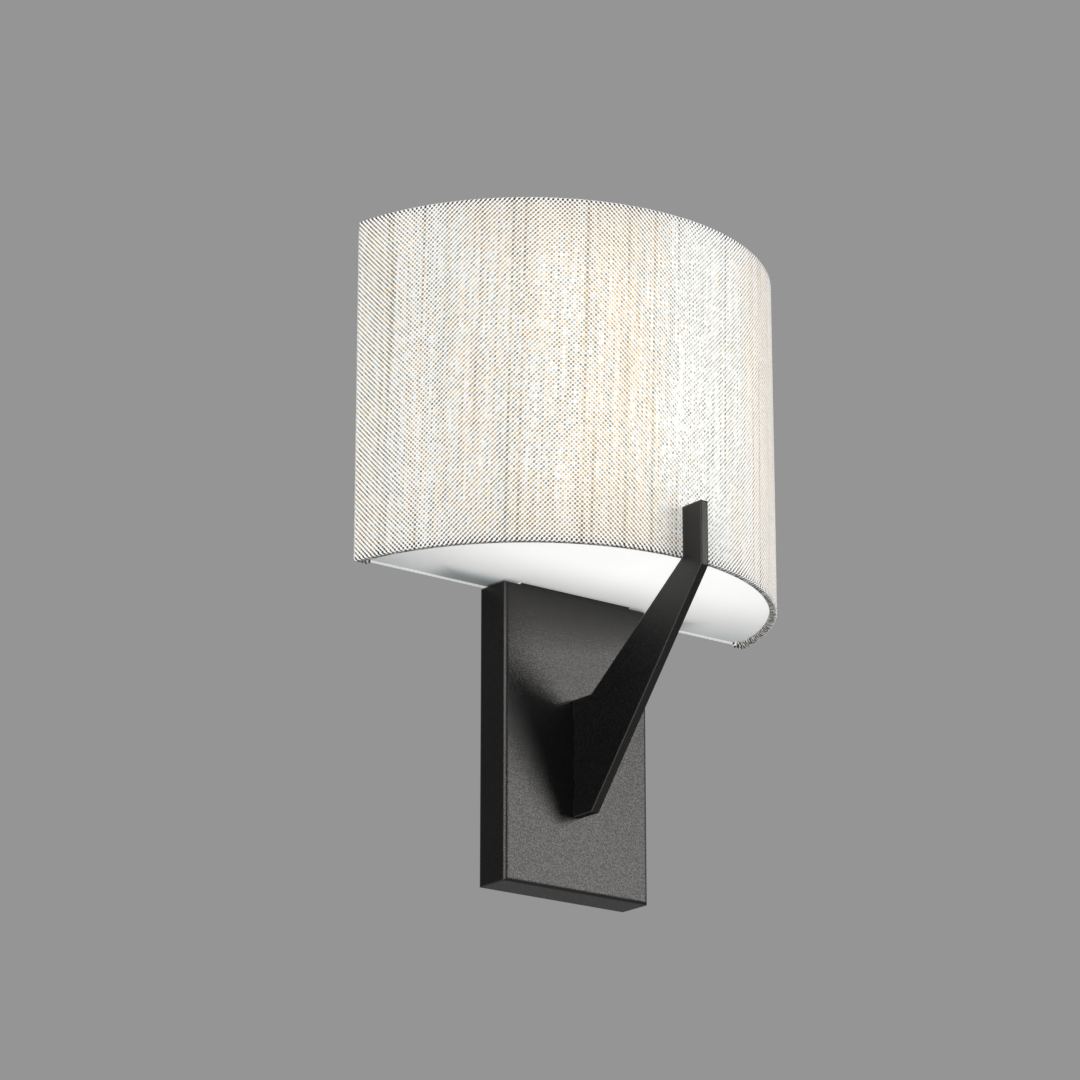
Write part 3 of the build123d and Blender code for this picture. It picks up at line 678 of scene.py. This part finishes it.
TAN_STOPS = ((0.34, (0.25, 0.165, 0.06)), (0.46, (0.38, 0.27, 0.12)),
             (0.56, (0.48, 0.365, 0.20)), (0.68, (0.61, 0.52, 0.37)))
GREY_STOPS = ((0.34, (0.14, 0.14, 0.10)), (0.46, (0.27, 0.275, 0.225)),
              (0.56, (0.41, 0.42, 0.385)), (0.68, (0.62, 0.63, 0.61)))
GOLDEN_BAND = (0.41, 0.57)
WEFT_WHITE = (0.83, 0.83, 0.825)
WEFT_CREAM = (0.81, 0.80, 0.78)
# Painted shade close to both folds:
HEM_SHADE = (0.2, 0.2, 0.2)
HEM_SHADE_EDGE = (0.3, 3.8)
# Painted shade in the creases of the bottom fold:
CREASE_SHADE = (0.16, 0.15, 0.13)
CREASE_BAND = (0.36, 0.64)
CREASE_UP = (-0.4, 0.6)
CREASE_DEPTH = 0.85

PALE_AT = 12.0
PALE_REACH = (2.0, 46.0)
# Painted shade near the folds, left of the front:
DUSK_AT = -48.0
DUSK_REACH = (22.0, 60.0)
DUSK_EDGE = (4.0, 36.0)
WARM_FROM_LEFT = (-75.0, -25.0)
WARM_TO_RIGHT = (38.0, 62.0)
# Painted shade towards both ends of the cloth:
DARK_TO_LEFT = (-125.0, -55.0)
DARK_TO_RIGHT = (35.0, 80.0)

LIGHT_UP = 0.52
LIGHT_REACH = 0.48
LIGHT_RISE_SHARE = 0.45
LIGHT_FROM_LEFT = (-160.0, 0.0)
LIGHT_TO_RIGHT = (15.0, 75.0)
LIGHT_EDGE = (0.0, 13.0)
PALE_LIGHT = 0.24
WEFT_LIGHT_ACROSS = (-40.0, 60.0)
WEFT_LIGHT_EDGE = (-1.6, 0.3)


def thread_grid(r):
    """Where each place lies in the weave: its warp column and weft row, and how the threads cross there.
    The slant at which the crossings line up changes slowly round the shade."""
    along, up, _ = r.split(r.vector("SCALE", r.uv(CLOTH_UV), scale=1 / MM))
    u = r.math("DIVIDE", r.math("MULTIPLY_ADD", up, -WARP_LEAN, along), WARP_PITCH)
    v = r.math("DIVIDE", up, WEFT_PITCH)
    half_u = r.math("MULTIPLY", u, math.pi)
    half_v = r.math("MULTIPLY", v, math.pi)
    straight = r.product(r.math("COSINE", half_u), r.math("COSINE", half_v))
    crossed = r.product(r.math("SINE", half_u), r.math("SINE", half_v))
    rate = r.math("MULTIPLY_ADD", along, SLANT_GAIN, SLANT_RATE)
    turn = r.math("MULTIPLY_ADD", rate, along, SLANT_START)
    slant = r.math("COSINE", r.math("MULTIPLY", turn, math.pi))
    slant = r.product(slant, r.between(along, *SLANT_LEFT_END, SLANT_LEFT, SLANT_RIGHT))
    return SimpleNamespace(
        along=along,
        up=up,
        edge=r.math("MINIMUM", up, r.math("SUBTRACT", SHADE_H / MM, up)),
        flat=r.join(along, up),
        column=r.math("ROUND", u),
        row=r.math("ROUND", v),
        lie=r.math("MULTIPLY_ADD", crossed, slant, straight))


def thread_noise(r, thread, skip, run, length, layer=0.0, weft=False):
    """Noise that differs from thread to thread and changes over about length along each of them."""
    parts = (r.math("MULTIPLY", thread, skip), r.math("DIVIDE", run, length))
    if weft:
        parts = parts[::-1]
    return r.noise(1.0, detail=1.0, at=r.join(*parts, layer))


def thread_habits(r, w):
    """Slubs, hue and streaks of the threads, added to the grid, and how far the warp shows over the weft."""
    w.slub = thread_noise(r, w.column, 3.71, w.up, WARP_SLUB_LENGTH)
    w.weft_slub = thread_noise(r, w.row, 3.17, w.along, WEFT_SLUB_LENGTH, layer=20.0, weft=True)
    w.hue = thread_noise(r, w.column, 2.93, w.up, HUE_LENGTH, layer=40.0)
    drift = thread_noise(r, w.column, 5.37, w.up, STREAK_LENGTH, layer=60.0)
    w.region = r.noise(REGION_SIZE, detail=1.0, at=w.flat, stretch=REGION_STRETCH)
    w.strand = r.speckle(w.column, 0.0, 3.0)
    w.cell = r.speckle(w.column, w.row)
    w.fleck = r.speckle(w.column, w.row, 7.0)
    w.streak = r.product(r.between(w.strand, *STREAKED_STRANDS), r.between(drift, *STREAKED_STRETCHES))
    thick = r.sum((w.slub, 0.8), (w.weft_slub, 0.2))
    shown = r.sum((w.lie, 1.0), (thick, -0.16), (w.streak, 0.26), (-0.06, 1.0))
    w.over = r.between(shown, -OVERLAP_SOFTNESS, OVERLAP_SOFTNESS)


def shade_zones(r, w):
    """The pale stretch at the front and the stretches of painted shade at the folds left of it, added to the
    grid.
    """
    w.pale = r.near(w.along, PALE_AT, *PALE_REACH)
    w.dusk = r.product(r.near(w.along, DUSK_AT, *DUSK_REACH), r.between(w.edge, *DUSK_EDGE, 1.0, 0.0))


def warp_colour(r, w):
    """Tan warp threads among grey-green and grey ones, with painted shade at both ends of the cloth and at
    the folds.
    """
    tone = r.sum((w.slub, 0.42), (w.weft_slub, 0.14), (w.cell, 0.22), (w.strand, 0.12), (w.streak, -0.16),
                 (0.05, 1.0))
    warm = r.sum((w.pale, -0.21), (w.dusk, 0.12), (r.between(w.along, *WARM_FROM_LEFT, -0.04, 0.05), 1.0),
                 (r.between(w.along, *WARM_TO_RIGHT), 0.06))
    golden = r.sum((w.hue, 0.45), (w.region, 0.22), (w.fleck, 0.25), (w.weft_slub, 0.08), (warm, 1.0))
    colour = r.mix(r.between(golden, *GOLDEN_BAND), r.ramp(tone, GREY_STOPS), r.ramp(tone, TAN_STOPS))
    # Painted shade close to both folds of the hem.
    colour = r.mix(r.between(w.edge, *HEM_SHADE_EDGE, 1.0, 0.0), colour, HEM_SHADE, "MULTIPLY")
    # Painted shade: darker towards both ends of the cloth, and more in the dusky stretches.
    ends = r.product(r.between(w.along, *DARK_TO_LEFT, 0.86, 1.0),
                     r.between(w.along, *DARK_TO_RIGHT, 1.0, 0.72))
    ends = r.dimmed(ends, w.dusk, 0.22)
    return r.mix(1.0, colour, r.join(ends, ends, ends), "MULTIPLY")


def cloth_colour(r, w):
    """Warp over white weft, with painted shade in creases where the bottom hem folds under."""
    weft = r.mix(r.speckle(w.row), WEFT_WHITE, WEFT_CREAM)
    # Painted shade in the creases where the bottom hem folds under.
    crease = r.between(r.noise(2.0, detail=2.0, at=w.flat), *CREASE_BAND, 1.0, 0.0)
    crease = r.product(crease, r.between(w.up, *CREASE_UP, CREASE_DEPTH, 0.0))
    return r.mix(crease, r.mix(w.over, weft, warp_colour(r, w)), CREASE_SHADE, "MULTIPLY")


def cloth_light(r, w):
    """Light from inside, strongest half-way up at the front. It has one level where the warp lies on top
    and another where the weft does."""
    height = SHADE_H / MM
    level = r.math("DIVIDE", r.math("SUBTRACT", w.up, height * LIGHT_UP), height * LIGHT_REACH)
    rise = r.math("EXPONENT", r.math("MULTIPLY", r.product(level, level), -1.0))
    left = r.between(w.along, *LIGHT_FROM_LEFT, 0.50, 0.92)
    right = r.between(w.along, *LIGHT_TO_RIGHT, 1.0, 0.60)
    right = r.math("MULTIPLY_ADD", w.pale, r.math("MULTIPLY", rise, PALE_LIGHT), right)
    upright = r.math("MULTIPLY_ADD", rise, LIGHT_RISE_SHARE, 1.0 - LIGHT_RISE_SHARE)
    through = r.product(left, right, upright, r.between(w.edge, *LIGHT_EDGE, 0.30, 1.0))
    through = r.dimmed(through, w.dusk, 0.12)
    weft = r.product(r.between(w.along, *WEFT_LIGHT_ACROSS, 0.37, 0.51),
                     r.between(w.edge, *WEFT_LIGHT_EDGE, 0.45, 1.0))
    weft = r.dimmed(weft, w.dusk, 0.14)
    return r.math("ADD", weft, r.product(w.over, r.math("SUBTRACT", through, weft)))


def woven():
    """Plain weave of white weft over slubbed warp in tan, grey-green and grey, lit from behind."""
    r = Recipe("shade_cloth", Specular_IOR_Level=0.15, Sheen_Weight=0.12, Sheen_Roughness=0.5)
    w = thread_grid(r)
    thread_habits(r, w)
    shade_zones(r, w)
    colour = cloth_colour(r, w)
    r.set("Base Color", colour)
    r.roughness(w.cell, 0.78, 0.92, FULL_BAND)
    r.set("Emission Color", colour)
    r.set("Emission Strength", cloth_light(r, w))
    ridge = r.math("POWER", r.math("ABSOLUTE", w.lie), 0.7)
    fibre = r.noise(0.16, detail=2.0, at=w.flat)
    r.relief(r.sum((ridge, 0.8), (fibre, 0.2)), 0.10)
    return r.material


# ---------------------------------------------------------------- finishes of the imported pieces
FINISHES = (
    (powder_coat(), ("housing", "arm")),
    (black_oxide(), ("lock_screw",)),
    (zinc("zinc_plate", ZINC, ROLLED), ("mounting_strap", "arm_bracket")),
    (zinc("zinc_hardware", ZINC),
     ("hanger_pins", "lock_nut", "arm_screws", "arm_nuts", "neck_nuts", "channel_rivets", "board_screws",
      "driver_rivets", "diffuser_nuts", "pan_screws")),
    (zinc("green_ground", GREEN), ("ground_screw",)),
    (white_enamel(), ("light_channel", "back_pan", "bottom_ring", "top_ring", "left_stile", "right_stile")),
    (opal("opal_bottom", bottom_glow), ("bottom_diffuser", "diffuser_studs")),
    (opal("opal_top", top_glow), ("top_diffuser",)),
    (film(), ("shade_liner",)),
    (board_mask(), ("led_board",)),
    (phosphor(), ("led_chips",)),
    (moulded("connector_nylon", NYLON_PALE, NYLON_DEEP, roughness=0.42), ("board_connector",)),
    (moulded("driver_plastic", CASE_PALE, CASE_DEEP, roughness=0.5), ("driver_case",)),
    (moulded("bush_rubber", RUBBER_PALE, RUBBER_DEEP, roughness=0.7), ("lead_bush",)),
    (insulation(), ("led_leads",)),
)
for material, names in FINISHES:
    for name in names:
        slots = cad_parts[name].data.materials
        slots.clear()
        slots.append(material)

shade_cloth(woven())

# ---------------------------------------------------------------- floor, lamps and world
FLOOR_DROP = 1.65
FLOOR_HALF = 8.0
FLOOR_CELLS = 8
FLOOR_DEEP = (0.66, 0.66, 0.655)
FLOOR_PALE = (0.70, 0.70, 0.695)
FLOOR_ROUGHNESS = 0.8
SKY_LEVEL = 0.30
SKY_TOP = 0.62
SKY_FROM = 0.42
SKY_BLUENESS = 1.01
SKY_LEFT = 0.30
SKY_LEFT_AT = -0.75
AIM = Vector((0.0, -0.03, 0.05))


def make_floor():
    mesh = bmesh.new()
    bmesh.ops.create_grid(mesh, x_segments=FLOOR_CELLS, y_segments=FLOOR_CELLS, size=FLOOR_HALF)
    data = bpy.data.meshes.new("floor")
    mesh.to_mesh(data)
    mesh.free()
    r = Recipe("floor_plaster", Specular_IOR_Level=0.2)
    r.set("Base Color", r.mix(r.noise(900.0, detail=3.0), FLOOR_DEEP, FLOOR_PALE))
    r.set("Roughness", FLOOR_ROUGHNESS)
    data.materials.append(r.material)
    floor = bpy.data.objects.new("floor", data)
    floor.location = (0.0, 0.0, -FLOOR_DROP)
    bpy.context.scene.collection.objects.link(floor)


def soft_lamp(name, direction, distance, width, height, radiance):
    """A soft box that shines on the object from a direction; radiance is how bright its face is."""
    data = bpy.data.lights.new(name, "AREA")
    data.shape = "RECTANGLE"
    data.size = width
    data.size_y = height
    data.energy = radiance * math.pi * width * height
    lamp = bpy.data.objects.new(name, data)
    away = Vector(direction).normalized()
    lamp.location = AIM + away * distance
    lamp.rotation_euler = away.to_track_quat("Z", "Y").to_euler()
    bpy.context.scene.collection.objects.link(lamp)


def make_world():
    """A plain studio dome, grey at the level of the eye, paler overhead and darker on the left."""
    world = bpy.data.worlds.new("world")
    world.use_nodes = True
    nodes = world.node_tree.nodes
    links = world.node_tree.links
    split = nodes.new("ShaderNodeSeparateXYZ")
    links.new(nodes.new("ShaderNodeTexCoord").outputs["Generated"], split.inputs[0])
    dome = nodes.new("ShaderNodeValToRGB")
    dome.color_ramp.interpolation = "EASE"
    for point, (place, grey) in zip(dome.color_ramp.elements, ((SKY_FROM, SKY_LEVEL), (1.0, SKY_TOP))):
        point.position = place
        point.color = (grey, grey, SKY_BLUENESS * grey, 1.0)
    links.new(split.outputs[2], dome.inputs[0])
    left = nodes.new("ShaderNodeMapRange")
    left.interpolation_type = "SMOOTHSTEP"
    links.new(split.outputs[0], left.inputs[0])
    for socket, value in zip(list(left.inputs)[1:5], (SKY_LEFT_AT, 0.0, SKY_LEFT, 1.0)):
        socket.default_value = value
    links.new(left.outputs[0], nodes["Background"].inputs["Strength"])
    links.new(dome.outputs["Color"], nodes["Background"].inputs["Color"])
    bpy.context.scene.world = world


make_floor()
soft_lamp("key", direction=(0.555, -0.776, 0.10), distance=2.0, width=0.85, height=0.85, radiance=8.7)
soft_lamp("fill", direction=(-0.89, -0.34, 0.09), distance=2.4, width=1.2, height=1.3, radiance=7.5)
make_world()
